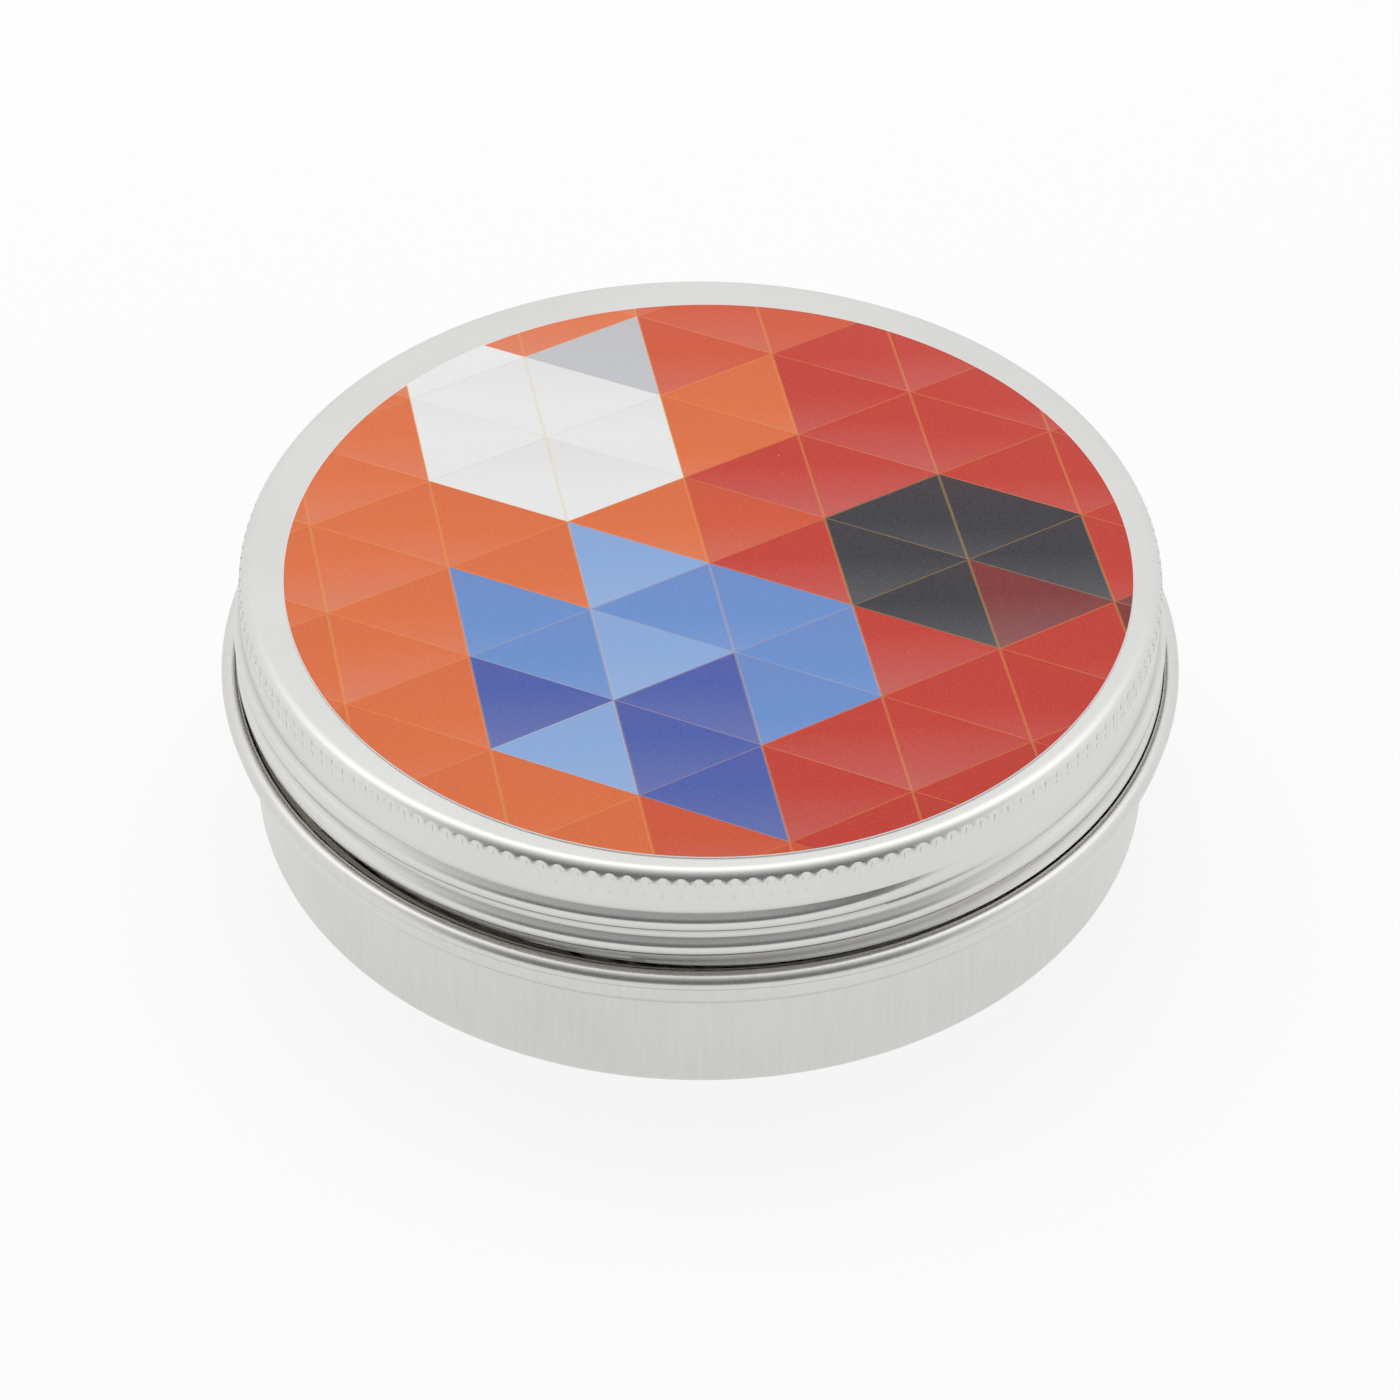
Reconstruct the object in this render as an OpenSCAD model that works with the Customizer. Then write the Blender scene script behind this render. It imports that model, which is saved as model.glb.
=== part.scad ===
// Round shallow screw-lid tin in drawn aluminium sheet, with its wax fill, sealing liner and top label.
// The axis of the tin is Z, the standing ring lies on Z = 0 and the front is towards -Y.

/* [Sheet] */
// Thickness of the aluminium sheet
sheet = 0.35; // [0.25:0.01:0.45]

/* [Tin body] */
// Outer diameter of the straight wall
tin_d = 82.1; // [60:0.1:120]
// Height of the straight wall above the surface it stands on
wall_h = 10.8; // [6:0.1:40]
// Outer radius of the rounded bottom edge
bottom_r = 1.1; // [0.7:0.05:2.5]
// Width of the standing ring between the rounded edge and the recessed panel
foot_w = 3.95; // [2:0.05:8]
// Height of the recessed panel above the standing ring
panel_rise = 0.5; // [0.2:0.05:1.2]
// Width of the sloped step round the recessed panel
panel_step = 1.2; // [0.6:0.1:2]

/* [Shoulder] */
// Radius of the rounded shoulder under the bead
shoulder_r = 2.9; // [2.2:0.1:4]
// Radius of the hollow between the wall and the shoulder
fillet_r = 0.8; // [0.4:0.05:1.5]
// How far the bead stands out past the wall
bead_out = 2.59; // [2.5:0.01:3.1]
// Overhang of the bead past the top of the shoulder
bead_overhang = 0.1; // [0.05:0.01:0.2]
// Height of the lip under that overhang
bead_lip = 0.05; // [0.03:0.01:0.1]
// Height of the upright band on the outside of the bead
bead_band = 0.43; // [0.3:0.01:1.5]
// Outer radius of the roll on top of the bead
bead_roll = 0.8; // [0.7:0.05:0.9]
// Width of the flat on top of that roll
bead_flat = 0.25; // [0.1:0.05:0.35]
// Depth of the valley between bead and neck, below the top of the bead
valley_depth = 1.5; // [1.4:0.05:2]

/* [Neck] */
// Height of the neck above the top of the bead, up to the rim
neck_h = 8.7; // [8.5:0.1:20]
// Outer radius of the curl at the rim
rim_r = 0.7; // [0.55:0.05:1]

/* [Lid] */
// How far the lid's skirt stands out past the wall
lid_out = 0.45; // [0.3:0.05:0.55]
// Outer radius of the lid's top edge
lid_r_edge = 1.3; // [1:0.05:1.9]
// Height of the lid's skirt, from the top face to the lower edge
lid_h = 10.25; // [9:0.05:10.3]

/* [Screw thread] */
// Number of thread starts
starts = 1; // [1:1:2]
// Distance between one thread line and the next
pitch = 2.88; // [2.6:0.01:3.2]
// Depth to which the thread is rolled
thread_depth = 0.6; // [0.4:0.01:0.65]
// Height of the steep lower flank
flank_h = 0.25; // [0.2:0.01:0.35]
// Height of the thread's crest
crest_h = 0.65; // [0.6:0.01:0.8]
// Height of the long upper flank
slope_h = 0.72; // [0.65:0.01:1]
// Depth of the first thread line below the lid's top, at the front
line_front = 5.83; // [5.6:0.01:6.1]
// Depth of the same line below the lid's top where the thread ends
line_end = 5.48; // [5.1:0.01:5.55]
// Angle over which the thread fades out at its end
run_out = 40; // [20:1:60]
// Angle by which the neck's thread ends before the lid's
neck_lag = 60; // [30:1:90]
// Clearance between the lid's thread and the neck's
thread_gap = 0.17; // [0.12:0.01:0.2]

/* [Grip] */
// Number of pressed flutes round the lid's top edge
flutes = 172; // [60:1:180]
// Width of one flute
flute_w = 1.1; // [0.6:0.05:1.2]
// Depth of one flute
flute_depth = 0.22; // [0.1:0.01:0.24]
// Distance of the flutes' lower ends below the lid's top
flute_end = 2.62; // [2:0.01:2.8]

/* [Liner] */
// Thickness of the foam sealing disc
liner_t = 1; // [0.6:0.05:2]
// Clearance between the liner and the inside of the lid
liner_gap = 0.1; // [0.05:0.01:0.2]
// Clearance between the liner and the rim of the closed tin
seat_gap = 0.05; // [0.02:0.01:0.2]

/* [Wax] */
// Depth of the wax below the rim, at the wall
wax_drop = 6.7; // [3:0.1:8]
// How far the wax has sunk in the middle
wax_dish = 0.6; // [0.1:0.05:1.2]
// Clearance between the wax and the tin
wax_gap = 0.05; // [0.03:0.01:0.1]

/* [Label] */
// Width of the lid's bare edge round the label, were it centred
label_margin = 3.4; // [2.8:0.05:20]
// Thickness of the label
label_t = 0.12; // [0.08:0.01:0.2]
// How far the label sits off centre to the right
label_x = 0.7; // [-1:0.01:1]
// How far the label sits off centre towards the back
label_y = -1.2; // [-1.4:0.01:1.4]

/* [Hidden] */
$fn = 96;

// Straight pieces in each rounded stretch of an outline
arc_steps = 8;
// Angle between the sections of the thread
thread_step = 7.5;
// How far a thread ridge reaches into the wall that carries it
ridge_root = 0.15;
// How far a ridge has sunk below that wall where it ends
ridge_sink = 0.04;
// Depth by which a cutting shape reaches past the surface it starts from
overcut = 0.4;
// Angle of the front, where the thread's line is measured
front = -90;
// Angle through which the rim is curled in
rim_wrap = 250;
// Sides of the prism that presses one flute
flute_sides = 12;

wall_r = tin_d / 2;
lid_r = wall_r + lid_out;
panel_r = wall_r - bottom_r - foot_w;
bead_outer = wall_r + bead_out;
neck_back = sheet + thread_gap;
neck_r = lid_r - neck_back;
lead = starts * pitch;

shoulder_turn = acos(1 - (bead_out - bead_overhang) / (shoulder_r + fillet_r));
shoulder_top = wall_h + (shoulder_r + fillet_r) * sin(shoulder_turn);
shoulder_in = bead_outer - bead_overhang - shoulder_r;
roll_out = bead_outer - bead_roll;
roll_in = roll_out - bead_flat;
roll_axis = shoulder_top + bead_band;
bead_top = roll_axis + bead_roll;
valley_r = (roll_in - bead_roll - neck_r) / 2;
valley_axis = bead_top - valley_depth + valley_r;
rim_top = bead_top + neck_h;
lid_top = rim_top + seat_gap + liner_t + liner_gap + sheet;
lid_edge = lid_top - lid_h;
liner_top = lid_top - sheet - liner_gap;
liner_corner = lid_r_edge - sheet - liner_gap;
section_h = flank_h + crest_h + slope_h * (1 + overcut / thread_depth);

function arc(center, r, from, to) =
    [for (i = [0 : arc_steps])
        let (a = from + (to - from) * i / arc_steps)
            center + r * [cos(a), sin(a)]];

// Left-hand unit normal of the line from p to q
function normal(p, q) = let (d = (q - p) / norm(q - p)) [-d[1], d[0]];

// The same outline, moved sideways by t: to the left of its direction if t is positive
function beside(path, t) =
    let (last = len(path) - 1)
    [for (i = [0 : last])
        let (
            n0 = normal(path[max(i - 1, 0)], path[max(i, 1)]),
            n1 = normal(path[min(i, last - 1)], path[min(i + 1, last)])
        )
            path[i] + t * (n0 + n1) / (1 + n0 * n1)];

function after_first(path) = [for (i = [1 : len(path) - 1]) path[i]];

function backwards(path) = [for (i = [len(path) - 1 : -1 : 0]) path[i]];

function sheet_outline(path, t) = concat(path, backwards(beside(path, t)));

// Outside of the tin, from the middle of the bottom to the foot of the neck
body_path = concat(
    [
        [0, panel_rise],
        [panel_r - panel_step, panel_rise],
        [panel_r, 0]
    ],
    arc([wall_r - bottom_r, bottom_r], bottom_r, -90, 0),
    arc([wall_r + fillet_r, wall_h], fillet_r, 180, 180 - shoulder_turn),
    after_first(arc([shoulder_in, shoulder_top], shoulder_r, -shoulder_turn, 0)),
    [[bead_outer, shoulder_top + bead_lip]],
    arc([roll_out, roll_axis], bead_roll, 0, 90),
    arc([roll_in, roll_axis], bead_roll, 90, 180),
    arc([neck_r + valley_r, valley_axis], valley_r, 0, -180)
);
rim_path = arc([neck_r - rim_r, rim_top - rim_r], rim_r, 0, rim_wrap);

// Outside of the lid, from the middle of its top to below its lower edge
lid_path = concat(
    [[0, lid_top]],
    arc([lid_r - lid_r_edge, lid_top - lid_r_edge], lid_r_edge, 90, 0),
    [[lid_r, lid_edge - section_h - overcut]]
);

// Section of the thread, set back by t from the lid's outer surface and reaching inwards by root.
// The heights are measured from the thread line, and fade sinks the crest at the thread's end.
function thread_section(t, root, fade) =
    let (
        foot = lid_r - t,
        rise = (norm([thread_depth, flank_h]) - flank_h) / thread_depth,
        drop = (norm([thread_depth, slope_h]) - slope_h) / thread_depth,
        low = flank_h + rise * t,
        high = flank_h + crest_h - drop * t,
        crest = foot + thread_depth * fade - (1 - fade) * ridge_sink
    )
    [
        [foot - root, low - flank_h * (1 + root / thread_depth)],
        [crest, low],
        [crest, high],
        [foot - root, high + slope_h * (1 + root / thread_depth)]
    ];

// Angle at which the thread line passes a given depth below the lid's top
function angle_at(depth) = front + 360 * (line_front - depth) / lead;

// One helical ridge per start, between two angles, fading out at the upper end
module thread(t, root, from, to) {
    steps = ceil((to - from) / thread_step);
    points = [
        for (i = [0 : steps])
            let (
                a = from + (to - from) * i / steps,
                fade = min(1, (to - a) / run_out),
                z = lid_top - line_front + lead * (a - front) / 360
            )
                for (p = thread_section(t, root, fade))
                    [p[0] * cos(a), p[0] * sin(a), z + p[1]]
    ];
    sides = [
        for (i = [0 : steps - 1], j = [0 : 3])
            let (
                a = 4 * i + j,
                b = 4 * i + (j + 1) % 4,
                c = b + 4,
                d = a + 4
            )
                for (f = [[a, b, c], [a, c, d]])
                    f
    ];
    ends = [[3, 2, 1, 0], [for (j = [0 : 3]) 4 * steps + j]];
    for (k = [0 : starts - 1])
        rotate(360 * k / starts)
            polyhedron(points, concat(sides, ends));
}

module flute_ring() {
    flute_r = (flute_w * flute_w / 4 + flute_depth * flute_depth) / (2 * flute_depth);
    for (i = [0 : flutes - 1])
        rotate(360 * i / flutes)
            translate([lid_r + flute_r - flute_depth, 0, lid_top - flute_end])
                cylinder(r = flute_r, h = flute_end + overcut, $fn = flute_sides);
}

thread_low = angle_at(lid_h + section_h);
thread_high = angle_at(line_end);
neck_thread_low = angle_at(lid_h);
neck_thread_high = thread_high - neck_lag;

module tin_base() {
    color("silver") {
        rotate_extrude()
            polygon(sheet_outline(concat(body_path, rim_path), sheet));
        thread(neck_back, ridge_root, neck_thread_low, neck_thread_high);
    }
}

module wax_fill() {
    level = rim_top - wax_drop;
    inside = beside(concat(body_path, [[neck_r, level]]), sheet + wax_gap);
    color("wheat")
        rotate_extrude()
            polygon(concat(inside, [[0, level - wax_dish]]));
}

module lid_shell() {
    color("gainsboro")
        difference() {
            union() {
                difference() {
                    rotate_extrude()
                        polygon(sheet_outline(lid_path, -sheet));
                    flute_ring();
                }
                thread(0, ridge_root, thread_low, thread_high);
            }
            thread(sheet, overcut, thread_low, thread_high);
            translate([0, 0, lid_edge - section_h - 2 * overcut])
                cylinder(r = bead_outer, h = section_h + 2 * overcut);
        }
}

module lid_liner() {
    color("white")
        rotate_extrude()
            polygon(concat(
                [[0, liner_top], [0, liner_top - liner_t]],
                [[lid_r - lid_r_edge + liner_corner, liner_top - liner_t]],
                arc([lid_r - lid_r_edge, liner_top - liner_corner], liner_corner, 0, 90)
            ));
}

module top_label() {
    color("orangered")
        translate([label_x, label_y, lid_top])
            cylinder(r = lid_r - label_margin, h = label_t);
}

tin_base();
wax_fill();
lid_shell();
lid_liner();
top_label();
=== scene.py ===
import math

import bpy
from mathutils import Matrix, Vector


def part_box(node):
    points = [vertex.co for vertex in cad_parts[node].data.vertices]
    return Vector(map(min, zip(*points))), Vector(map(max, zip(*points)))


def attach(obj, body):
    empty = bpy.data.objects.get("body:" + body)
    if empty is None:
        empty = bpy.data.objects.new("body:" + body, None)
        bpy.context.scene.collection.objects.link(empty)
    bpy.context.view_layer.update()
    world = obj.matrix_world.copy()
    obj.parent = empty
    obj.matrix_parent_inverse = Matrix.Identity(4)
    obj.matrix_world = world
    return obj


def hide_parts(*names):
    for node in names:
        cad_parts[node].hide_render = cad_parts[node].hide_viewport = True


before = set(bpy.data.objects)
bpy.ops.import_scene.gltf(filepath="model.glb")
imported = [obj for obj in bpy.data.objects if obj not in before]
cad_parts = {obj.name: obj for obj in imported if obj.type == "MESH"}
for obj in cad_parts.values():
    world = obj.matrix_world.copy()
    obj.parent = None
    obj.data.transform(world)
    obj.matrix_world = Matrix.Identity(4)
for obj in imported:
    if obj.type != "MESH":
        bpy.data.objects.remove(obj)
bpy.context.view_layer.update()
mm = 0.001
fullTurn = math.tau
print("frame loaded:", ", ".join(sorted(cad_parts)))


class Wire:  # one socket of a node tree, so that node maths reads as sums
    def __init__(self, tree, socket=None):
        self.tree = tree
        self.socket = socket

    def add(self, kind, settings=None, sockets=None, out=0):  # any node: settings first, then its sockets
        node = self.tree.nodes.new(kind)
        for name, value in (settings or {}).items():
            if name == "stops":
                fillRamp(node.color_ramp, value)
            else:
                setattr(node, name, value)
        for key, value in (sockets or {}).items():
            if isinstance(value, Wire):
                self.tree.links.new(value.socket, node.inputs[key])
            else:
                node.inputs[key].default_value = value
        return Wire(self.tree, node.outputs[out]) if node.outputs else None

    def out(self, name):  # another output of the same node
        return Wire(self.tree, self.socket.node.outputs[name])

    def math(self, operation, *others):
        return self.add("ShaderNodeMath", {"operation": operation}, dict(enumerate((self, *others))))

    def __add__(self, other):
        return self.math("ADD", other)

    def __radd__(self, other):
        return self.math("ADD", other)

    def __sub__(self, other):
        return self.math("SUBTRACT", other)

    def __rsub__(self, other):
        return self.math("MULTIPLY_ADD", -1, other)

    def __mul__(self, other):
        return self.math("MULTIPLY", other)

    def __rmul__(self, other):
        return self.math("MULTIPLY", other)

    def __truediv__(self, other):
        return self.math("DIVIDE", other)

    def __rtruediv__(self, other):
        return self.math("POWER", -1).math("MULTIPLY", other)

    def floor(self):
        return self.math("FLOOR")

    def fract(self):
        return self.math("FRACT")

    def size(self):
        return self.math("ABSOLUTE")

    def root(self):
        return self.math("SQRT")

    def least(self, other):
        return self.math("MINIMUM", other)

    def most(self, other):
        return self.math("MAXIMUM", other)

    def over(self, other):  # 1 where it is greater, 0 elsewhere
        return self.math("GREATER_THAN", other)

    def ease(self, low, high):  # 0 below low, 1 above high, smooth between; low may be above high
        sockets = {"Value": self, "From Min": low, "From Max": high}
        return self.add("ShaderNodeMapRange", {"interpolation_type": "SMOOTHSTEP"}, sockets)


def fillRamp(ramp, stops):
    while len(ramp.elements) < len(stops):
        ramp.elements.new(1)
    for element, (place, colour) in zip(ramp.elements, stops):
        element.position = place
        element.color = colour


def linear(red, green, blue):  # a screen colour, 0 to 255, as scene light
    def one(value):
        share = value / 255
        return share / 12.92 if share <= 0.04045 else ((share + 0.055) / 1.055) ** 2.4

    return (one(red), one(green), one(blue), 1)


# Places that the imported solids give, in millimetres
baseLow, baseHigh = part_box("tin_base")
lidLow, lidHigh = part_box("lid_shell")
linerLow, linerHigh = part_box("lid_liner")
labelLow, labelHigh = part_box("top_label")
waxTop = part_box("wax_fill")[1].z / mm
beadRadius = min(-baseLow.x, -baseLow.y, baseHigh.x, baseHigh.y) / mm
rimTop = baseHigh.z / mm
lidTop = lidHigh.z / mm
lidEdge = lidLow.z / mm
labelCentre = (labelLow + labelHigh) / 2
labelRadius = (labelHigh.x - labelLow.x) / 2 / mm

sheetMetal = {
    "thick": 0.35,
    "wall": beadRadius - 2.59,          # outer radius of the straight wall
    "skirt": beadRadius - 2.14,         # outer radius of the lid
}


class RidgeSide:  # one side of the rolled ridge: straight from its foot, then round up to the crest
    def __init__(self, lean, bend, depth):
        turn = math.radians(lean)
        self.slope = math.tan(turn)
        self.bend = bend
        self.round = bend * math.sin(turn)
        self.straight = (depth - bend * (1 - math.cos(turn))) / self.slope
        self.height = self.straight + self.round


# Rolled thread: one start, the same ridge on the lid and, set back, on the neck
thread = {
    "lead": 2.88,
    "depth": 0.7,
    "crest": 0.41,
    "flankLean": 65,                    # the lower side, in degrees, and its bend into the crest
    "flankBend": 0.5,
    "slopeLean": 54,                    # the upper side
    "slopeBend": 0.7,
    "line": lidTop - 6.19,              # height of the ridge's lower foot at the front
    "frontTurn": 0.75,                  # the front, as a share of the way round
    "fadeTurn": 40 / 360,               # share of a turn in which the ridge runs out
    "gap": 0.17,
    "crease": 0.5,                      # height of the band of painted shade under the ridge
    "creaseFull": 0.25,                 # on the flank, the painted shade is full up to here
    "creaseFade": 0.15,                 # and ends this far above the flank
    "creaseShade": 1,
    "fold": 0.06,                       # line of painted shade in the fold, below the slope's foot
    "foldReach": 0.1,
    "foldShade": 0.5,
    "foldStep": 0.025,                  # rows this near to the slope's foot keep the fold crisp
}
thread["flank"] = RidgeSide(thread["flankLean"], thread["flankBend"], thread["depth"])
thread["slope"] = RidgeSide(thread["slopeLean"], thread["slopeBend"], thread["depth"])
thread["fade"] = thread["fadeTurn"] * thread["lead"]
thread["lineAtZero"] = thread["line"] - thread["frontTurn"] * thread["lead"]
thread["crestEnd"] = thread["flank"].height + thread["crest"]
thread["end"] = thread["crestEnd"] + thread["slope"].height

# Spun sheet: rows of a profile are turned round the axis, and thread rows climb as they go round
spinSizes = {
    "Columns": "NodeSocketInt",
    "Flutes": "NodeSocketInt",
    "Flute Width": "NodeSocketFloat",
    "Flute Depth": "NodeSocketFloat",
    "Flute Radius": "NodeSocketFloat",
    "Line Top": "NodeSocketFloat",
    "Line Low": "NodeSocketFloat",
    "Climb Low": "NodeSocketFloat",
    "Climb High": "NodeSocketFloat",
    "Painted Light Top": "NodeSocketFloat",
    "Material": "NodeSocketMaterial",
}
# the last two row fields mark painted shade in creases and under the bead's overhang, and a pale matt colour
# painted as light on shaded parts
rowFields = ("radius", "height", "wall", "fluted", "rolled", "climbs", "stain", "dull")
spinRules = {
    "gather": (0.0577, 0.0385),         # draws the columns to the sides of the flutes
    "fluteSquare": 4,                   # the higher, the flatter a flute's floor
    "paintedLightFade": 0.2,                    # height over which the band of painted light ends
    "paintedLightLeast": 0.1,                   # share of painted light at the lower edge
    "sharpFrom": 50,                    # edges bent by more degrees stay sharp
    "weld": 0.001,
    "noWall": 1000,                     # a wall so far out that no flute cuts the row
}


def ridgeAt(fromFoot, side):  # how far one side of the ridge stands out, at a height from its foot
    bend = side.bend * mm
    inRound = (side.height * mm - fromFoot).most(0).least(side.round * mm)
    rounded = (bend * bend - inRound * inRound).root() + (thread["depth"] * mm - bend)
    return (fromFoot * side.slope).least(rounded)


def makeSpinTree():
    tree = bpy.data.node_groups.new("spunSheet", "GeometryNodeTree")
    tree.is_modifier = True
    tree.interface.new_socket("Geometry", in_out="INPUT", socket_type="NodeSocketGeometry")
    tree.interface.new_socket("Geometry", in_out="OUTPUT", socket_type="NodeSocketGeometry")
    for name, kind in spinSizes.items():
        tree.interface.new_socket(name, in_out="INPUT", socket_type=kind)
    profile = Wire(tree).add("NodeGroupInput")
    size = {name: profile.out(name) for name in spinSizes}

    rows = profile.add("GeometryNodeAttributeDomainSize", {"component": "MESH"}, {"Geometry": profile})
    index = profile.add("GeometryNodeInputIndex")
    column = ((index + 0.5) / rows).floor()
    row = index - column * rows

    def fieldOf(name):
        named = profile.add("GeometryNodeInputNamedAttribute", {"data_type": "FLOAT"}, {"Name": name})
        sockets = {"Geometry": profile, "Value": named, "Index": row}
        return profile.add("GeometryNodeSampleIndex", {"data_type": "FLOAT"}, sockets)

    radius, height, wall, fluted, rolled, climbs, stain, dull = [fieldOf(name) for name in rowFields]

    even = column / size["Columns"]                       # 0 to 1 round the axis
    wave = even * size["Flutes"] * fullTurn
    once, twice = spinRules["gather"]
    gather = (wave * 2).math("SINE") * twice - wave.math("SINE") * once
    turn = even + gather / size["Flutes"]                 # columns gather at the sides of the flutes

    lead = thread["lead"] * mm
    climbed = (height + turn * lead).most(size["Climb Low"]).least(size["Climb High"])
    level = height + climbs * (climbed - height)

    fromLine = level - turn * lead - thread["lineAtZero"] * mm
    above = (fromLine / lead).fract() * lead              # height above the thread line below
    rising = ridgeAt(above, thread["flank"])
    falling = ridgeAt(thread["end"] * mm - above, thread["slope"])
    ridge = rising.least(falling).most(0)
    line = level - above
    fade = thread["fade"] * mm

    def strengthAt(line):  # 1 along the thread, 0 past its ends
        return (size["Line Top"] - line).ease(0, fade) * (line - size["Line Low"]).ease(0, fade)

    runOut = strengthAt(line)
    near = thread["crease"] * mm
    # painted shade: a band under each ridge and a line in the fold at the slope's foot, fading where the
    # ridge runs out
    under = above.ease(lead - near, lead) * strengthAt(line + lead)
    creaseEnd = (thread["flank"].height + thread["creaseFade"]) * mm
    crease = above.ease(creaseEnd, thread["creaseFull"] * mm) * runOut + under
    fromFold = (above - (thread["end"] - thread["fold"]) * mm).size()
    fold = fromFold.ease(thread["foldReach"] * mm, 0) * runOut
    paintedShadeShare = ((crease * thread["creaseShade"]).most(fold * thread["foldShade"]) * rolled).most(stain)
    # painted light: a pale matt band over the lid's lower edge, fullest at its top and thin at the edge, and
    # whatever the rows mark
    least = spinRules["paintedLightLeast"]
    lowest = level.ease(size["Painted Light Top"], size["Painted Light Top"] - spinRules["paintedLightFade"] * mm) * climbs
    growing = least + (1 - least) * level.ease(size["Climb Low"], size["Painted Light Top"])
    mattPaintedLightShare = (lowest * growing).most(dull)

    pace = size["Flute Radius"] * fullTurn / size["Flutes"]
    across = ((turn * size["Flutes"] + 0.5).fract() - 0.5) * pace * 2 / size["Flute Width"]
    bowl = (1 - across.math("POWER", spinRules["fluteSquare"])).most(0)
    hollow = bowl * size["Flute Depth"] * fluted
    reach = radius.least(wall - hollow) + rolled * ridge * runOut

    angle = turn * fullTurn
    place = profile.add("ShaderNodeCombineXYZ", {}, {
        "X": reach * angle.math("COSINE"),
        "Y": reach * angle.math("SINE"),
        "Z": level,
    })
    grid = profile.add("GeometryNodeMeshGrid", {}, {"Vertices X": size["Columns"] + 1, "Vertices Y": rows})
    onPoints = {"data_type": "FLOAT", "domain": "POINT"}
    marked = profile.add("GeometryNodeStoreNamedAttribute", onPoints,
                         {"Geometry": grid, "Name": "stain", "Value": paintedShadeShare})
    marked = profile.add("GeometryNodeStoreNamedAttribute", onPoints,
                         {"Geometry": marked, "Name": "dull", "Value": mattPaintedLightShare})
    spun = profile.add("GeometryNodeSetPosition", {}, {"Geometry": marked, "Position": place})
    weld = {"Geometry": spun, "Distance": spinRules["weld"] * mm}
    welded = profile.add("GeometryNodeMergeByDistance", {}, weld)
    outward = profile.add("GeometryNodeFlipFaces", {}, {"Mesh": welded})
    smooth = profile.add("GeometryNodeSetShadeSmooth", {"domain": "FACE"}, {"Geometry": outward})
    sharp = profile.add("GeometryNodeInputMeshEdgeAngle").over(math.radians(spinRules["sharpFrom"]))
    creased = profile.add("GeometryNodeSetShadeSmooth", {"domain": "EDGE"},
                          {"Geometry": smooth, "Selection": sharp, "Shade Smooth": False})
    solid = profile.add("GeometryNodeRealizeInstances", {}, {"Geometry": creased})
    painted = profile.add("GeometryNodeSetMaterial", {}, {"Geometry": solid, "Material": size["Material"]})
    profile.add("NodeGroupOutput", {}, {"Geometry": painted})
    return tree


spinTree = makeSpinTree()
spinIds = {item.name: item.identifier for item in spinTree.interface.items_tree if item.in_out == "INPUT"}


# One row, in millimetres
def ring(radius, height, wall=spinRules["noWall"], fluted=0, rolled=0, climbs=0, stain=0, dull=0):
    return (radius, height, wall, fluted, rolled, climbs, stain, dull)


def spin(name, rows, sizes, material):
    mesh = bpy.data.meshes.new(name)
    mesh.from_pydata([(row[0] * mm, 0, row[1] * mm) for row in rows], [], [])
    for place, field in enumerate(rowFields):
        scale = mm if field in ("radius", "height", "wall") else 1
        values = mesh.attributes.new(field, "FLOAT", "POINT")
        values.data.foreach_set("value", [row[place] * scale for row in rows])
    piece = bpy.data.objects.new(name, mesh)
    bpy.context.scene.collection.objects.link(piece)
    modifier = piece.modifiers.new("spin", "NODES")
    modifier.node_group = spinTree
    for label in spinSizes:
        if label == "Material":
            modifier[spinIds[label]] = material
        elif label in ("Columns", "Flutes"):
            modifier[spinIds[label]] = sizes.get(label, 1)
        else:
            modifier[spinIds[label]] = sizes.get(label, 0) * mm
    graph = bpy.context.evaluated_depsgraph_get()
    plain = bpy.data.meshes.new_from_object(piece.evaluated_get(graph), depsgraph=graph)
    piece.modifiers.clear()
    piece.data = plain
    plain.name = name
    bpy.data.meshes.remove(mesh)
    triangles = sum(len(face.vertices) - 2 for face in plain.polygons)
    print("spun", name, triangles, "triangles")
    return piece


def spread(start, end, steps):  # even steps, without the last one
    return [start + (end - start) * i / steps for i in range(steps)]


def arc(centreR, centreZ, radius, start, end, steps):  # points of a round stretch
    turns = [math.radians(a) for a in spread(start, end, steps) + [end]]
    return [(centreR + radius * math.cos(a), centreZ + radius * math.sin(a)) for a in turns]


def beside(path, distance):  # the same outline, moved to the left of its direction
    def normal(p, q):
        length = math.dist(p, q)
        return ((p[1] - q[1]) / length, (q[0] - p[0]) / length)

    moved = []
    for i, (r, z) in enumerate(path):
        n0 = normal(path[max(i - 1, 0)], path[max(i, 1)])
        n1 = normal(path[min(i, len(path) - 2)], path[min(i + 1, len(path) - 1)])
        share = distance / (1 + n0[0] * n1[0] + n0[1] * n1[1])
        moved.append((r + share * (n0[0] + n1[0]), z + share * (n0[1] + n1[1])))
    return moved


def ridgeSteps(fine):  # heights above the thread line at which rows are set, closer where the ridge bends
    flank, slope = thread["flank"], thread["slope"]
    slopeFoot = thread["end"]
    slopeBend = thread["crestEnd"] + slope.round
    steps = [0]
    steps += spread(flank.straight, flank.height, 1 + fine)
    steps += [flank.height]
    steps += spread(thread["crestEnd"], slopeBend, 1 + 4 * fine)
    steps += [slopeBend, slopeFoot]
    if fine:
        steps += [slopeFoot - thread["foldStep"], slopeFoot + thread["foldStep"]]
    steps += spread(slopeFoot, thread["lead"], 1 + 2 * fine)[1:]
    return sorted(steps)


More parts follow.
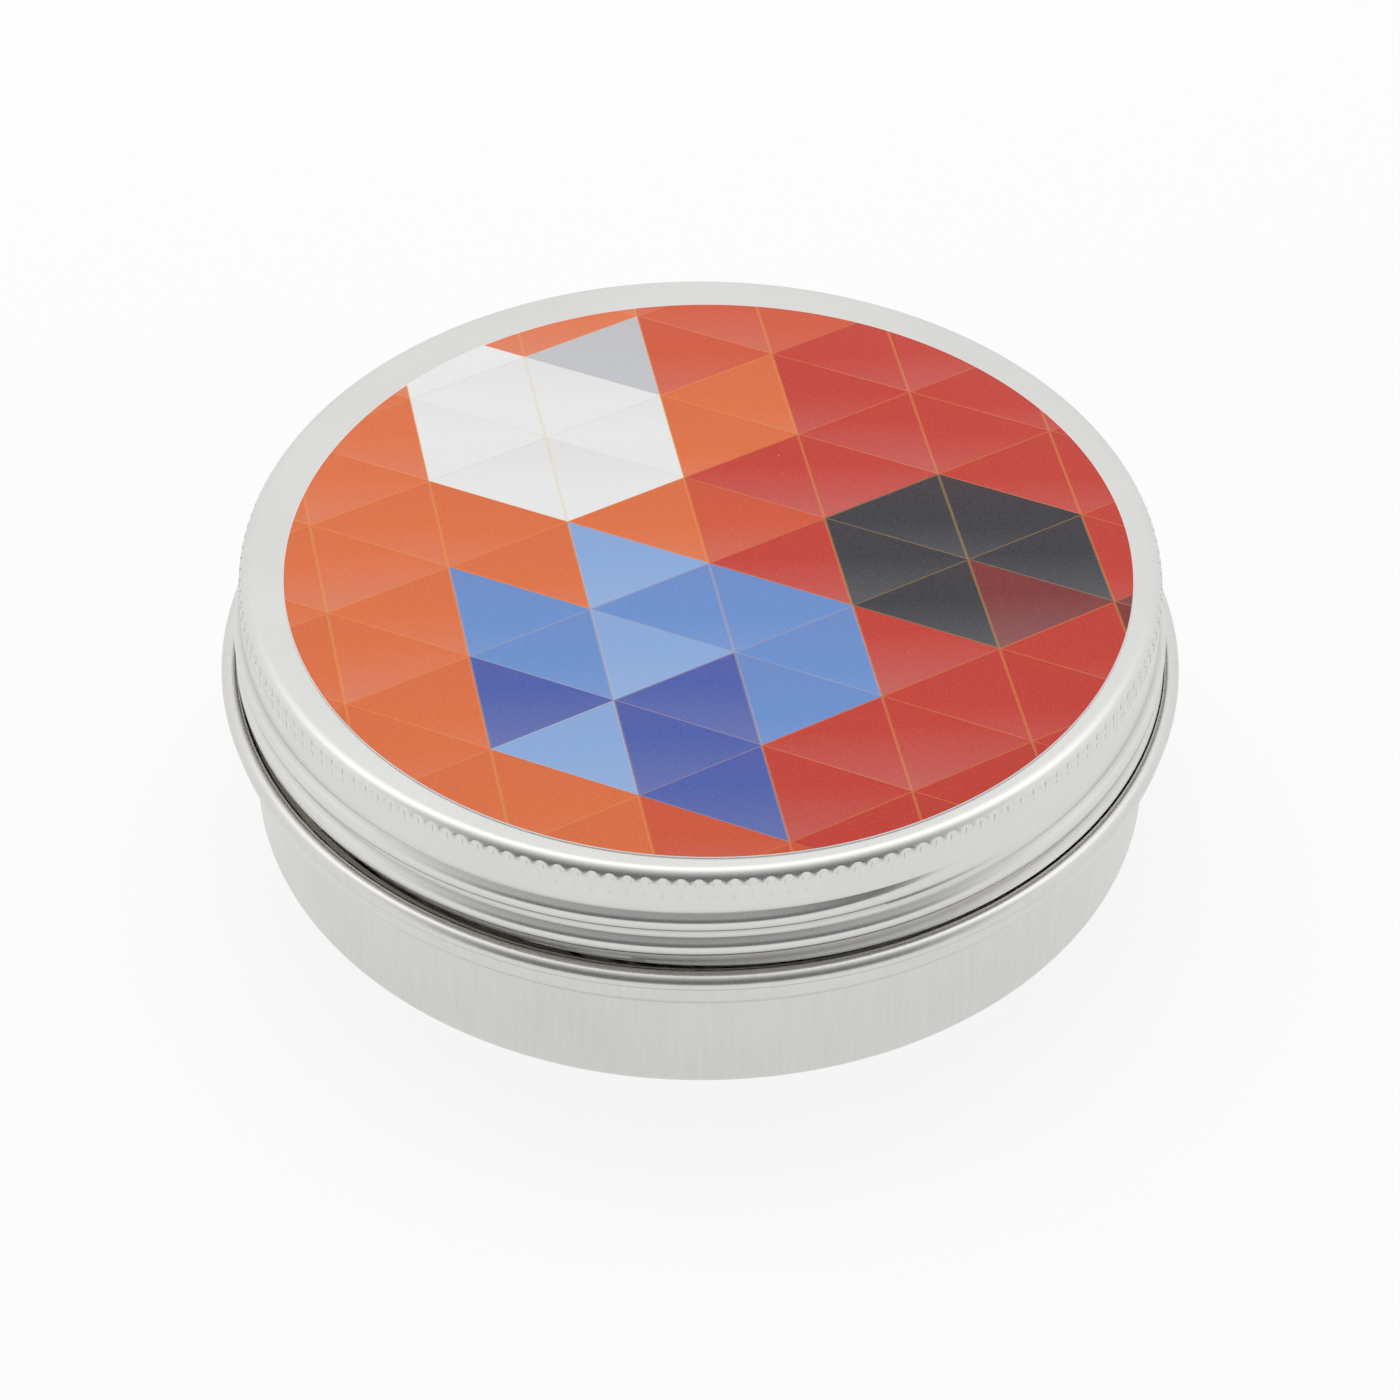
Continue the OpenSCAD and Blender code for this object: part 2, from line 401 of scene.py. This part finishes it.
def threadRows(radius, low, high, fine, dull=0):  # climbing rows, from the top down
    lead = thread["lead"]
    first = math.floor((low - lead - thread["lineAtZero"]) / lead) - 1
    last = math.ceil((high - thread["lineAtZero"]) / lead) + 1
    heights = [thread["lineAtZero"] + lead * k + s for k in range(first, last + 1) for s in ridgeSteps(fine)]
    heights = sorted((z for z in heights if low - lead < z < high), reverse=True)
    return [ring(radius, z, rolled=1, climbs=1, dull=dull) for z in heights]


# Finishes
def newMaterial(name):
    material = bpy.data.materials.new(name)
    material.use_nodes = True
    material.node_tree.nodes.clear()
    pen = Wire(material.node_tree)
    return material, pen, pen.add("ShaderNodeTexCoord", out="Object")


def noise(place, scale, detail=2, rough=0.5):  # scale may differ along each axis
    spreadOut = scale if isinstance(scale, tuple) else (scale, scale, scale)
    stretched = place.add("ShaderNodeMapping", {}, {"Vector": place, "Scale": spreadOut})
    sockets = {"Vector": stretched, "Scale": 1, "Detail": detail, "Roughness": rough}
    return place.add("ShaderNodeTexNoise", {}, sockets)


def blendColours(share, first, second):
    settings = {"data_type": "RGBA", "clamp_factor": True}
    return share.add("ShaderNodeMix", settings, {0: share, 6: first, 7: second}, 2)


def fromAxis(place):
    flat = place.add("ShaderNodeSeparateXYZ", {}, {"Vector": place})
    x, y = flat, flat.out("Y")
    return (x * x + y * y).root()


def closeMaterial(pen, constants, **varying):
    sockets = {name.replace("_", " "): value for name, value in varying.items()}
    shader = pen.add("ShaderNodeBsdfPrincipled", {}, {**constants, **sockets})
    pen.add("ShaderNodeOutputMaterial", {}, {"Surface": shader})


# Drawn sheet: fine lines along the draw, soft clouds and a fine grain
drawnSheet = {
    "lineScale": (2600, 2600, 160),
    "cloudScale": 60,
    "grainScale": 5200,
    "lineRough": 0.08,
    "cloudRough": 0.06,
    # more roughness where the pale matt colour is painted as light
    "mattRough": 0.2,
    "lineHeight": 0.6,
    "grainHeight": 0.4,
    "relief": 0.02,
}


def aluminium(name, look):
    material, pen, place = newMaterial(name)
    drawn = noise(place, drawnSheet["lineScale"], 3)
    clouds = noise(place, drawnSheet["cloudScale"], 3)
    grain = noise(place, drawnSheet["grainScale"])
    tone = (drawn - 0.5) * look["lines"] + (clouds - 0.5) * look["clouds"] + 0.5
    colour = blendColours(tone, linear(*look["dark"]), linear(*look["light"]))
    # painted shade blends the colour towards the shade colour in creases and under the overhang; painted
    # light is a pale matt colour, less metal and rougher, on shaded parts
    stain = pen.add("ShaderNodeAttribute", {"attribute_name": "stain"}, out="Fac")
    dull = pen.add("ShaderNodeAttribute", {"attribute_name": "dull"}, out="Fac")
    colour = blendColours(stain, colour, linear(*look["stain"]))
    colour = blendColours(dull, colour, linear(*look["dull"]))
    rough = look["rough"] + (drawn - 0.5) * drawnSheet["lineRough"]
    rough = rough + (clouds - 0.5) * drawnSheet["cloudRough"] + dull * drawnSheet["mattRough"]
    bump = pen.add("ShaderNodeBump", {}, {
        "Strength": look["relief"],
        "Distance": drawnSheet["relief"] * mm,
        "Height": drawn * drawnSheet["lineHeight"] + grain * drawnSheet["grainHeight"],
    })
    closeMaterial(pen, {}, Base_Color=colour, Metallic=1 - dull, Roughness=rough, Normal=bump)
    return material


tinLook = {
    "dark": (213, 212, 208),
    "light": (229, 228, 224),
    "lines": 0.8,
    "clouds": 0.8,
    "rough": 0.28,
    "relief": 0.2,
    "stain": (160, 156, 150),           # painted shade in the creases and under the bead's overhang
    "dull": (232, 225, 212),            # pale matt colour painted as light in the shaded valley and on the neck
}
lidLook = {
    "dark": (218, 218, 215),
    "light": (232, 232, 230),
    "lines": 0.4,
    "clouds": 0.8,
    "rough": 0.26,
    "relief": 0.15,
    # painted shade under the thread's ridge and in its fold
    "stain": (160, 157, 152),
    "dull": (242, 238, 230),            # pale matt colour painted as light along the lower edge
}
tinMetal = aluminium("tinMetal", tinLook)
lidMetal = aluminium("lidMetal", lidLook)

# Label: a field of warm facets with three groups of other colours
labelPrint = {
    "inks": {
        "orange": (226, 112, 60),
        "redOrange": (212, 84, 48),
        "red": (198, 56, 40),
        "darkRed": (126, 40, 40),
        "paleBlue": (140, 174, 224),
        "blue": (106, 146, 210),
        "deepBlue": (72, 92, 172),
        "charcoal": (44, 44, 52),
        "grey": (196, 197, 202),
        "white": (238, 238, 238),
        "yellow": (238, 186, 92),
    },
    "facet": 14,                        # edge of one facet, in millimetres
    "squat": 0.72,
    "tilt": 24,
    "warmth": (0.42, 0.2, 0.3),         # change of tone across, upwards and from facet to facet
    "field": [(0, "orange"), (0.46, "redOrange"), (0.62, "red"), (0.93, "darkRed")],
    "groups": [                         # centre and reach, as shares of the label's radius, and tones
        (0.05, -0.42, 0.46, [(0, "blue"), (0.4, "paleBlue"), (0.75, "deepBlue")]),
        (-0.62, 0.36, 0.36, [(0, "white"), (0.7, "grey")]),
        (0.62, 0.3, 0.3, [(0, "charcoal"), (0.72, "darkRed")]),
    ],
    "shade": (0.07, 0.06),              # over each facet, and from facet to facet
    "keyline": 0.11,
    "keylineSoft": 0.4,
    "keylineInk": 0.22,
    "grainScale": 9000,
    "grainLight": 0.2,
    "grainDark": 0.25,
    "fleckScale": 900,
    "fleckFrom": (0.76, 0.8),
    "fleckInk": 0.3,
    "cutEdge": (0.12, 0.04),            # pale paper along the rim
    "rough": 0.45,
    "grainRough": 0.2,
    "relief": 0.15,
    "reliefDepth": 0.01,
    "gloss": 0.35,
}


def printedPaper():
    material, pen, place = newMaterial("printedPaper")
    spot = pen.add("ShaderNodeMapping", {}, {
        "Vector": place,
        "Location": (-labelCentre.x / mm, -labelCentre.y / mm, 0),
        "Scale": (1 / mm, 1 / mm, 1 / mm),
    })
    ink = {name: linear(*value) for name, value in labelPrint["inks"].items()}
    tilt = (0, 0, math.radians(labelPrint["tilt"]))
    turned = pen.add("ShaderNodeMapping", {}, {"Vector": spot, "Rotation": tilt})
    flat = pen.add("ShaderNodeSeparateXYZ", {}, {"Vector": turned})
    x, y = flat, flat.out("Y")
    edge = labelPrint["facet"]
    tall = edge * labelPrint["squat"]
    u = x / edge - y / tall * 0.5
    v = y / tall
    cellU, cellV = u.floor(), v.floor()
    inU, inV = u.fract(), v.fract()
    upper = (inU + inV).over(1)
    third = 0.3333                                        # from a facet's corner to its middle
    middleU = cellU + third + upper * third
    middleV = cellV + third + upper * third
    middleX = (middleU + middleV * 0.5) * edge / labelRadius
    middleY = middleV * tall / labelRadius
    key = pen.add("ShaderNodeCombineXYZ", {}, {"X": cellU, "Y": cellV, "Z": upper})
    dice = pen.add("ShaderNodeTexWhiteNoise", {"noise_dimensions": "3D"}, {"Vector": key})

    def ramp(share, stops):  # one flat tone per facet
        settings = {"stops": [(place, ink[name]) for place, name in stops]}
        made = pen.add("ShaderNodeValToRGB", settings, {"Fac": share})
        made.socket.node.color_ramp.interpolation = "CONSTANT"
        return made

    def group(centreX, centreY, reach):  # facets whose middle lies near a point of the label
        offX, offY = middleX - centreX, middleY - centreY
        return 1 - (offX * offX + offY * offY).root().over(reach)

    across, upwards, byChance = labelPrint["warmth"]
    warmth = middleX * across + middleY * upwards + 0.5 + (dice - 0.5) * byChance
    facet = ramp(warmth, labelPrint["field"])
    for centreX, centreY, reach, tones in labelPrint["groups"]:
        facet = blendColours(group(centreX, centreY, reach), facet, ramp(dice, tones))
    within, byChance = labelPrint["shade"]
    lit = (inU - inV) * within + (dice - 0.5) * byChance
    facet = blendColours(lit.most(0), facet, ink["white"])
    facet = blendColours((lit * -1).most(0), facet, ink["darkRed"])
    fold = inU.least(inV).least((1 - inU - inV).size()) * tall
    wide, soft = labelPrint["keyline"], labelPrint["keylineSoft"]
    keyline = fold.ease(wide * (1 + soft), wide * (1 - soft))
    facet = blendColours(keyline * labelPrint["keylineInk"], facet, ink["yellow"])

    grain = noise(place, labelPrint["grainScale"], 1)
    flecks = noise(place, labelPrint["fleckScale"], 3, 0.7).ease(*labelPrint["fleckFrom"])
    inked = blendColours((grain - 0.5).most(0) * labelPrint["grainLight"], facet, ink["white"])
    inked = blendColours((0.5 - grain).most(0) * labelPrint["grainDark"], inked, ink["charcoal"])
    inked = blendColours(flecks * labelPrint["fleckInk"], inked, ink["white"])
    inner, outer = labelPrint["cutEdge"]
    rim = fromAxis(spot).ease(labelRadius - inner, labelRadius - outer)
    colour = blendColours(rim, inked, ink["white"])
    rough = labelPrint["rough"] + (grain - 0.5) * labelPrint["grainRough"]
    bump = pen.add("ShaderNodeBump", {}, {
        "Strength": labelPrint["relief"],
        "Distance": labelPrint["reliefDepth"] * mm,
        "Height": grain,
    })
    constants = {"Specular IOR Level": labelPrint["gloss"]}
    closeMaterial(pen, constants, Base_Color=colour, Roughness=rough, Normal=bump)
    return material


waxLook = {
    "dark": (92, 91, 92),
    "light": (128, 126, 124),
    "cloudScale": 70,
    "poreScale": 1400,
    "cloudHeight": 0.6,
    "poreHeight": 0.4,
    "relief": 0.3,
    "reliefDepth": 0.1,
    "rough": 0.38,
    "cloudRough": 0.18,
    "gloss": 0.5,
}


def pouredWax():
    material, pen, place = newMaterial("pouredWax")
    clouds = noise(place, waxLook["cloudScale"], 4)
    pores = noise(place, waxLook["poreScale"])
    colour = blendColours(clouds, linear(*waxLook["dark"]), linear(*waxLook["light"]))
    rough = waxLook["rough"] + clouds * waxLook["cloudRough"]
    bump = pen.add("ShaderNodeBump", {}, {
        "Strength": waxLook["relief"],
        "Distance": waxLook["reliefDepth"] * mm,
        "Height": clouds * waxLook["cloudHeight"] + pores * waxLook["poreHeight"],
    })
    constants = {"Specular IOR Level": waxLook["gloss"]}
    closeMaterial(pen, constants, Base_Color=colour, Roughness=rough, Normal=bump)
    return material


foamLook = {
    "dark": (226, 226, 222),
    "light": (244, 244, 242),
    "cellScale": 2200,
    "cloudScale": 120,
    "relief": 0.5,
    "reliefDepth": 0.05,
    "rough": 0.6,
    "cloudRough": 0.2,
}


def linerFoam():
    material, pen, place = newMaterial("linerFoam")
    cells = pen.add("ShaderNodeTexVoronoi", {}, {"Vector": place, "Scale": foamLook["cellScale"]})
    clouds = noise(place, foamLook["cloudScale"])
    colour = blendColours(clouds, linear(*foamLook["dark"]), linear(*foamLook["light"]))
    rough = foamLook["rough"] + clouds * foamLook["cloudRough"]
    bump = pen.add("ShaderNodeBump", {}, {
        "Strength": foamLook["relief"],
        "Distance": foamLook["reliefDepth"] * mm,
        "Height": cells,
    })
    closeMaterial(pen, {}, Base_Color=colour, Roughness=rough, Normal=bump)
    return material


# Lid: fluted corner and rolled thread, in one closed sheet
lid = {
    "flatTo": 34,                       # radius up to which the top has no rows
    "corner": 1.3,
    "cornerSteps": 13,
    "cornerEnd": 22,                    # where the round corner goes over into a short cone
    "coneHeight": 0.18,
    "coneRound": 0.3,                   # bend between the cone and the upright skirt
    "flutes": 172,
    "columnsPerFlute": 6,
    "fluteWidth": 0.76,
    "fluteDepth": 0.25,
    "fluteEnd": 2.62,
    "fluteRun": [(1.1, 0.7), (0.07, 0.17)],   # above its end: how much of its depth a flute has
    "inside": 0.4,                      # how much of a flute shows inside
    "threadTop": 2.95,                  # below the lid's top
    "lineEnd": 5.84,
    "linePast": 10,                     # the thread goes on past the lower edge
    "paintedLightHeight": 1.4,                  # band of pale matt colour painted as light above the lower edge
    "edgeRound": 0.09,
    "edgeSteps": 2,
}


def lidCorner():  # outside of the lid's edge, from the flat top down to the upright skirt
    corner, bend = lid["corner"], lid["coneRound"]
    turn = math.radians(lid["cornerEnd"])
    coneFoot = sheetMetal["skirt"] - bend * (1 - math.cos(turn))
    coneHead = coneFoot - lid["coneHeight"] * math.tan(turn)
    top = arc(coneHead - corner * math.cos(turn), lidTop - corner, corner, 90, lid["cornerEnd"],
              lid["cornerSteps"])
    skirtTop = top[-1][1] - lid["coneHeight"] - bend * math.sin(turn)
    return top + arc(sheetMetal["skirt"] - bend, skirtTop, bend, lid["cornerEnd"], 0, 3)


def lidRows():
    wall = sheetMetal["skirt"]
    thick = sheetMetal["thick"]
    inner = wall - thick
    soft = lid["edgeRound"]
    low = lidTop - lid["fluteEnd"]
    high = lidTop - lid["threadTop"]
    foot = lidEdge + 2 * soft
    outside = lidCorner()
    rows = [ring(r, lidTop) for r in (0, lid["flatTo"])]
    rows += [ring(r, z, wall, 1) for r, z in outside]
    rows += [ring(wall, low + up, wall, share) for up, share in lid["fluteRun"]]
    rows += [ring(wall, low), ring(wall, high, rolled=1)]
    rows += threadRows(wall, foot, high, True)
    rows += [ring(wall, foot, rolled=1)]
    edge = arc(wall - soft, lidEdge + soft, soft, 0, -90, lid["edgeSteps"])
    edge += arc(inner + soft, lidEdge + soft, soft, -90, -180, 1)
    rows += [ring(r, z, rolled=1) for r, z in edge]
    rows += [ring(inner, foot, rolled=1)]
    rows += threadRows(inner, foot, high, False)[::-1]
    rows += [ring(inner, high, rolled=1), ring(inner, low)]
    rows += [ring(inner, low + up, inner, share * lid["inside"]) for up, share in lid["fluteRun"][::-1]]
    rows += [ring(r, z, inner, lid["inside"]) for r, z in beside(outside, -thick)[::-3]]
    rows += [ring(r, lidTop - thick) for r in (lid["flatTo"], 0)]
    return rows


lidShell = spin("lid_sheet", lidRows(), {
    "Columns": lid["flutes"] * lid["columnsPerFlute"],
    "Flutes": lid["flutes"],
    "Flute Width": lid["fluteWidth"],
    "Flute Depth": lid["fluteDepth"],
    "Flute Radius": sheetMetal["skirt"],
    "Line Top": lidTop - lid["lineEnd"],
    "Line Low": lidEdge - lid["linePast"],
    "Climb Low": lidEdge + 2 * lid["edgeRound"],
    "Climb High": lidTop - lid["threadTop"],
    "Painted Light Top": lidEdge + lid["paintedLightHeight"],
}, lidMetal)
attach(lidShell, "lid")
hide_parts("lid_shell")

# Can: bottom panel, wall, shoulder, bead, valley, threaded neck and curled rim, in one closed sheet
tin = {
    "bottomRound": 1.1,
    "foot": 3.95,
    "panelRise": 0.5,
    "panelStep": 1.2,
    "panelSoft": (0.1, 0.03),           # rounding of the step, as shares of its width and rise
    "panelRow": 20,                     # radius of a row in the flat panel
    "wallRows": (0.4, 0.7),             # heights of the wall's rows, as shares
    "wallTop": 10.12,
    "shoulder": 4,
    "shoulderEnd": -2,                  # in degrees, where the overhang takes over
    "fillet": 0.8,
    "overhang": 0.15,
    "overhangEnd": 110,                 # in degrees
    "band": 0.31,
    "bandFrom": 1.2,                    # start of the upright band, in overhangs
    "roll": 0.9,
    "rollFlat": 0.05,
    "valleyDepth": 1.5,
    "valleyPaintedLight": 1.3,                  # reach of the pale matt colour painted as light round the valley's bottom
    "neckPaintedLight": 0.6,                    # share of pale matt colour painted as light on the neck
    # reach of the painted shade under the bead's overhang
    "overhangShade": 0.12,
    "markCore": 1.5,                    # a mark is full in the inner third of its reach
    "rimCurl": 0.7,
    "rimTurn": 250,
    "columns": 320,
    "lineEnd": 6.32,                    # below the lid's top
    "lineStart": 10.2,
}


def tinPaths():
    wall = sheetMetal["wall"]
    neck = sheetMetal["skirt"] - sheetMetal["thick"] - thread["gap"]
    foot = tin["bottomRound"]
    panel = wall - foot - tin["foot"]
    rise, step = tin["panelRise"], tin["panelStep"]
    shoulder, fillet, roll, overhang = tin["shoulder"], tin["fillet"], tin["roll"], tin["overhang"]
    shoulderEdge = beadRadius - overhang
    turn = math.acos(1 - (shoulderEdge - wall) / (shoulder + fillet))
    shoulderTop = tin["wallTop"] + (shoulder + fillet) * math.sin(turn)
    turn = math.degrees(turn)
    rollAxis = shoulderTop + tin["band"]
    rollIn = beadRadius - roll - tin["rollFlat"]
    valley = (rollIn - roll - neck) / 2
    valleyAxis = rollAxis + roll - tin["valleyDepth"] + valley
    aside, down = step * tin["panelSoft"][0], rise * tin["panelSoft"][1]
    body = [(0, rise), (tin["panelRow"], rise), (panel - step - aside, rise), (panel - step, rise - down)]
    body += [(panel - aside, down), (panel, 0)]
    body += arc(wall - foot, foot, foot, -90, 0, 8)
    body += [(wall, tin["wallTop"] * share) for share in tin["wallRows"]]
    body += arc(wall + fillet, tin["wallTop"], fillet, 180, 180 - turn, 6)
    body += arc(shoulderEdge - shoulder, shoulderTop, shoulder, -turn, tin["shoulderEnd"], 12)[1:]
    body += arc(beadRadius, shoulderTop, overhang, 180, tin["overhangEnd"], 4)
    body += [(beadRadius, shoulderTop + overhang * tin["bandFrom"])]
    body += arc(beadRadius - roll, rollAxis, roll, 0, 90, 10)
    body += arc(rollIn, rollAxis, roll, 90, 180, 10)
    body += arc(neck + valley, valleyAxis, valley, 0, -180, 10)
    curl = tin["rimCurl"]
    rim = arc(neck - curl, rimTop - curl, curl, 0, tin["rimTurn"], 20)
    # painted shade under the bead's overhang, and pale matt colour painted as light round the valley's
    # bottom
    marks = {
        "stain": (shoulderEdge, shoulderTop + overhang / 2, tin["overhangShade"]),
        "dull": (neck + valley, valleyAxis - valley, tin["valleyPaintedLight"]),
    }
    return body, rim, neck, marks


def tinRows():
    body, rim, neck, marks = tinPaths()
    thick = sheetMetal["thick"]
    low, high = body[-1][1], rim[0][1]
    inside = beside(body + rim, thick)
    bodyIn, rimIn = inside[:len(body)], inside[len(body):]

    def markAt(name, point):
        r, z, reach = marks[name]
        core = tin["markCore"]
        return max(0, min(1, core - core * math.dist(point, (r, z)) / reach))

    rows = [ring(*point, stain=markAt("stain", point), dull=markAt("dull", point)) for point in body]
    rows += threadRows(neck, low, high, True, tin["neckPaintedLight"])
    rows += [ring(r, z) for r, z in rim]
    rows += [ring(r, z) for r, z in rimIn[::-1]]
    rows += threadRows(neck - thick, low, high, False)[::-1]
    rows += [ring(max(r, 0), z) for r, z in bodyIn[::-1]]
    return rows, low, high


canRows, neckLow, neckHigh = tinRows()
tinCan = spin("tin_sheet", canRows, {
    "Columns": tin["columns"],
    "Flute Width": 1,
    "Flute Radius": 1,
    "Line Top": lidTop - tin["lineEnd"],
    "Line Low": lidTop - tin["lineStart"],
    "Climb Low": neckLow,
    "Climb High": neckHigh,
    "Painted Light Top": neckLow - 1,
}, tinMetal)
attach(tinCan, "base")
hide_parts("tin_base")

# Wax, liner and label
wax = {
    "clear": 0.06,
    "dish": 0.6,
    "meniscus": 0.3,
    "edge": 1.4,                        # width of the raised edge, and its shape as shares in and down
    "edgeShape": [(0.1, 0.35), (0.35, 0.75), (1, 1)],
    "dishRows": 12,
    "columns": 256,
}


def waxRows():
    body, _, neck, _ = tinPaths()
    inset = sheetMetal["thick"] + wax["clear"]
    side = beside(body + [(neck, waxTop)], inset)
    rows = [ring(max(r, 0), z) for r, z in side[:-1]]
    wall = neck - inset
    sunk, edge = wax["meniscus"], wax["edge"]
    rows += [ring(wall, waxTop)]
    rows += [ring(wall - edge * across, waxTop - sunk * down) for across, down in wax["edgeShape"]]
    shares = spread(1, 0, wax["dishRows"])[1:] + [0]
    rows += [ring((wall - edge) * s, waxTop - sunk - (wax["dish"] - sunk) * (1 - s * s)) for s in shares]
    return rows


waxFill = spin("wax_cake", waxRows(), {"Columns": wax["columns"]}, pouredWax())
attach(waxFill, "base")
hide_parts("wax_fill")

liner = {
    "round": 0.25,
    "clear": 0.12,
    "sealWidth": 0.8,                   # where the rim has pressed it
    "sealDepth": 0.12,
    "row": 20,
    "columns": 256,
}


def linerRows():
    low, high = linerLow.z / mm, linerHigh.z / mm
    edge = linerHigh.x / mm - liner["clear"]
    soft = liner["round"]
    seal = sheetMetal["skirt"] - sheetMetal["thick"] - thread["gap"] - tin["rimCurl"]
    wide, deep = liner["sealWidth"], liner["sealDepth"]
    rows = [ring(r, high) for r in (0, liner["row"])]
    rows += [ring(r, z) for r, z in arc(edge - soft, high - soft, soft, 90, 0, 4)]
    rows += [ring(r, z) for r, z in arc(edge - soft, low + soft, soft, 0, -90, 4)]
    shares = [s for s in (1, 0.7, 0.35, 0, -0.35, -0.7, -1) if seal + wide * s < edge - soft]
    rows += [ring(seal + wide * s, low + deep * (1 - s * s)) for s in shares]
    rows += [ring(r, low) for r in (liner["row"], 0)]
    return rows


linerDisc = spin("liner_disc", linerRows(), {"Columns": liner["columns"]}, linerFoam())
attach(linerDisc, "liner")
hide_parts("lid_liner")

label = {"columns": 360, "round": 0.03, "rows": (0, 10, 20, 30)}


def labelRows():
    low, high = labelLow.z / mm, labelHigh.z / mm
    soft = label["round"]
    rows = [ring(r, high) for r in label["rows"]]
    rows += [ring(r, z) for r, z in arc(labelRadius - soft, high - soft, soft, 90, 0, 3)]
    rows += [ring(r, low) for r in (labelRadius, 20, 0)]
    return rows


topLabel = spin("round_label", labelRows(), {"Columns": label["columns"]}, printedPaper())
for vertex in topLabel.data.vertices:
    vertex.co.x += labelCentre.x
    vertex.co.y += labelCentre.y
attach(topLabel, "lid")
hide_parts("top_label")

# Studio
studio = {
    "floorSize": 6,
    "floorColour": 0.9,
    "floorWhite": 0.85,                 # share of the floor that is plain white to the camera
    "floorGloss": 0.9,                  # how bright metal sees the floor
    "floorMirror": 0.85,                # and how much of it is that plain light
    "fill": 0.58,                       # light of the tent on matt surfaces
    "tent": 0.93,                       # the tent as metal sees it, at its sides
    "tentSides": (35, 65),              # where its sides begin and end, in degrees
    "overFront": [                      # and over the middle, from the front horizon back
        (0, 0.15), (38, 0.18), (56, 0.36), (71, 0.6), (86, 0.94),
        (98, 1.35), (108, 1.55), (121, 1.2), (135, 0.92), (150, 0.91),
    ],
    "lampWatts": 2.1,
    "lampWide": 0.8,
    "lampTall": 0.28,
    "lampPlace": (-0.04, 0.3, 0.6),
}


def makeFloor():
    half = studio["floorSize"] / 2
    mesh = bpy.data.meshes.new("floor")
    corners = [(-half, -half, 0), (half, -half, 0), (half, half, 0), (-half, half, 0)]
    mesh.from_pydata(corners, [], [(0, 1, 2, 3)])
    floor = bpy.data.objects.new("floor", mesh)
    bpy.context.scene.collection.objects.link(floor)
    material, pen, place = newMaterial("paleFloor")
    tone = studio["floorColour"]
    matt = pen.add("ShaderNodeBsdfDiffuse", {}, {"Color": (tone, tone, tone, 1)})
    camera = pen.add("ShaderNodeLightPath", out="Is Camera Ray")
    mirrored = camera.out("Is Glossy Ray").most(camera.out("Is Transmission Ray"))
    strength = camera + mirrored * studio["floorGloss"]
    white = pen.add("ShaderNodeEmission", {}, {"Color": (1, 1, 1, 1), "Strength": strength})
    share = camera * studio["floorWhite"] + mirrored * studio["floorMirror"]
    shader = pen.add("ShaderNodeMixShader", {}, {0: share, 1: matt, 2: white})
    pen.add("ShaderNodeOutputMaterial", {}, {"Surface": shader})
    material.cycles.emission_sampling = "NONE"
    mesh.materials.append(material)


def makeWorld():
    world = bpy.data.worlds.new("tent")
    world.use_nodes = True
    world.node_tree.nodes.clear()
    bpy.context.scene.world = world
    pen = Wire(world.node_tree)
    way = pen.add("ShaderNodeTexCoord", out="Generated")
    parts = pen.add("ShaderNodeSeparateXYZ", {}, {"Vector": way})
    x, y, z = parts, parts.out("Y"), parts.out("Z")
    steep = z.math("ARCTAN2", y * -1)                     # 0 at the front horizon, half a turn at the back
    sideways = x.size().math("ARCSINE")
    peak = max(level for degrees, level in studio["overFront"])
    stops = [(degrees / 180, (level / peak,) * 3 + (1,)) for degrees, level in studio["overFront"]]
    middle = pen.add("ShaderNodeValToRGB", {"stops": stops}, {"Fac": steep / math.pi}) * peak
    atSide = sideways.ease(*[math.radians(degrees) for degrees in studio["tentSides"]])
    glow = middle + atSide * (studio["tent"] - middle)
    camera = pen.add("ShaderNodeLightPath", out="Is Camera Ray")
    mirrored = camera.out("Is Glossy Ray").most(camera.out("Is Transmission Ray"))
    strength = studio["fill"] + camera * (1 - studio["fill"]) + mirrored * (glow - studio["fill"])
    light = pen.add("ShaderNodeBackground", {}, {"Color": (1, 1, 1, 1), "Strength": strength})
    pen.add("ShaderNodeOutputWorld", {}, {"Surface": light})
    world.cycles.sampling_method = "NONE"


def makeLamp():
    lamp = bpy.data.lights.new("softbox", "AREA")
    lamp.energy = studio["lampWatts"]
    lamp.shape = "RECTANGLE"
    lamp.size = studio["lampWide"]
    lamp.size_y = studio["lampTall"]
    holder = bpy.data.objects.new("softbox", lamp)
    across, back, up = studio["lampPlace"]
    holder.location = (across, back, up)
    holder.rotation_euler = (-math.atan2(back, up), math.atan2(across, math.hypot(back, up)), 0)
    holder.visible_glossy = False                         # metal sees the tent's bright part instead
    bpy.context.scene.collection.objects.link(holder)


shot = {
    "lens": 125.48,                     # on a 36 mm sensor
    "distance": 0.44718,
    "elevation": 41.609,
    "height": 0.01266,                  # of the point on the axis that the camera circles
    "dip": 0.422,                       # the object sits a little above the middle of the picture
    "roll": 0.259,
    "clip": 0.01,
}


def makeCamera():
    camera = bpy.data.cameras.new("camera")
    camera.lens = shot["lens"]
    camera.clip_start = shot["clip"]
    holder = bpy.data.objects.new("camera", camera)
    rise = math.radians(shot["elevation"])
    back, up = shot["distance"] * math.cos(rise), shot["distance"] * math.sin(rise)
    holder.location = (0, -back, shot["height"] + up)
    pitch = math.radians(90 - shot["elevation"] - shot["dip"])
    holder.rotation_mode = "ZXY"
    holder.rotation_euler = (pitch, 0, math.radians(shot["roll"]))
    bpy.context.scene.collection.objects.link(holder)
    bpy.context.scene.camera = holder


makeFloor()
makeWorld()
makeLamp()
makeCamera()
bpy.context.scene.view_settings.view_transform = "Standard"
print("studio ready")
